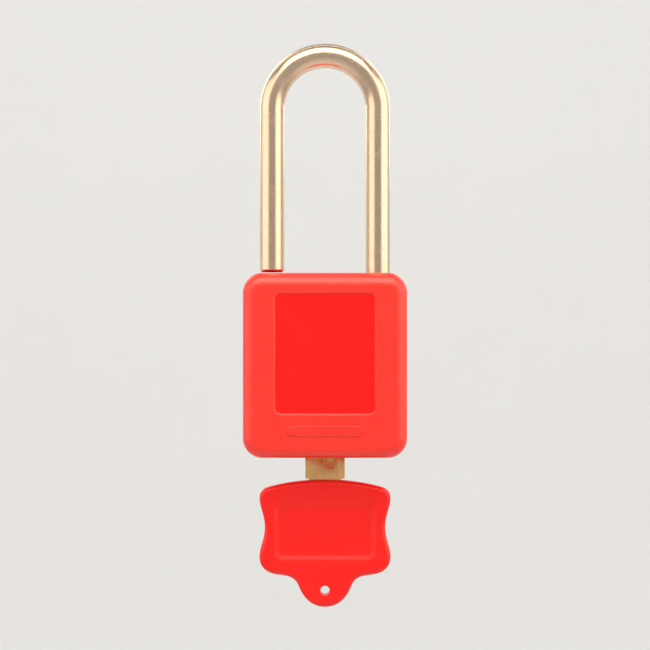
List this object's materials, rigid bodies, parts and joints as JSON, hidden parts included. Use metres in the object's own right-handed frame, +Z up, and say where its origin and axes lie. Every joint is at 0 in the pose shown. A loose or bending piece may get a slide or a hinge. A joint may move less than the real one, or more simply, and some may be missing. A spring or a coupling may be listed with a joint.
{
  "type": "safety padlock",
  "caption": "Nylon-bodied lockout safety padlock with a raised plated shackle, pin-tumbler cylinder, locking slide and a flat key that can be withdrawn.",
  "frame": {"origin": "inner top of the raised shackle, where the open padlock hangs on a hook, midway between the legs", "axes": "+Z up the shackle legs, away from the body; -Y out of the front; +X towards the heel leg, which stays in the body"},
  "size_m": [0.04, 0.0202, 0.1384],
  "materials": {
    "red_nylon_body": "fine moulded texture, satin, with smooth label panels",
    "red_nylon_cover": "fine moulded texture, satin",
    "red_nylon_key": "smooth moulded, satin",
    "plated_shackle": "polished plating over steel",
    "spring_steel": "drawn wire and turned steel",
    "slide_steel": "blanked plate",
    "driver_steel": "turned",
    "screw_steel": "zinc plated",
    "cylinder_brass": "turned brass",
    "plug_brass": "turned brass, face finely brushed",
    "key_metal": "nickel-washed brass, milled"
  },
  "bodies": {
    "case": {"body_shell": "red_nylon_body", "bottom_cover": "red_nylon_cover", "cylinder_housing": "cylinder_brass", "cylinder_screw": "screw_steel", "pin_spring_cover": "cylinder_brass", "shackle_retaining_pin": "spring_steel", "shackle_spring": "spring_steel", "driver_pin_1": "driver_steel", "driver_pin_2": "driver_steel", "driver_pin_3": "driver_steel", "driver_pin_4": "driver_steel", "driver_pin_5": "driver_steel", "driver_pin_6": "driver_steel", "pin_spring_1": "spring_steel", "pin_spring_2": "spring_steel", "pin_spring_3": "spring_steel", "pin_spring_4": "spring_steel", "pin_spring_5": "spring_steel", "pin_spring_6": "spring_steel"},
    "heel_follower": {"heel_follower": "spring_steel"},
    "shackle": {"shackle": "plated_shackle"},
    "plug": {"cylinder_plug": "plug_brass", "plug_retaining_clip": "spring_steel", "tail_cam": "cylinder_brass", "key_pin_1": "cylinder_brass", "key_pin_2": "cylinder_brass", "key_pin_3": "cylinder_brass", "key_pin_4": "cylinder_brass", "key_pin_5": "cylinder_brass", "key_pin_6": "cylinder_brass"},
    "locking_slide": {"locking_slide": "slide_steel"},
    "key": {"key_blade": "key_metal", "key_bow": "red_nylon_key"}
  },
  "joints": [
    {"name": "shackle_lift", "type": "slide", "parent": "case", "child": "heel_follower", "axis": [0, 0, 1], "range_m": [-0.0125, 0], "stiffness_N_per_m": 150, "springref_m": 0.03, "deforming": ["shackle_spring"]},
    {"name": "shackle_swing", "type": "hinge", "parent": "heel_follower", "child": "shackle", "pos_m": [0.013, 0, -0.0505], "axis": [0, 0, 1], "continuous": true},
    {"name": "plug_turn", "type": "hinge", "parent": "case", "child": "plug", "pos_m": [0, 0, -0.0952], "axis": [0, 0, 1], "range_deg": [-180, 0]},
    {"name": "slide_travel", "type": "slide", "parent": "case", "child": "locking_slide", "axis": [1, 0, 0], "range_m": [-0.003, 0]},
    {"name": "key_withdraw", "type": "slide", "parent": "plug", "child": "key", "axis": [0, 0, -1], "range_m": [0, 0.03]}
  ],
  "couplings": [
    {"joint": "slide_travel", "follows": "plug_turn", "m_per_rad": 0.00095}
  ]
}
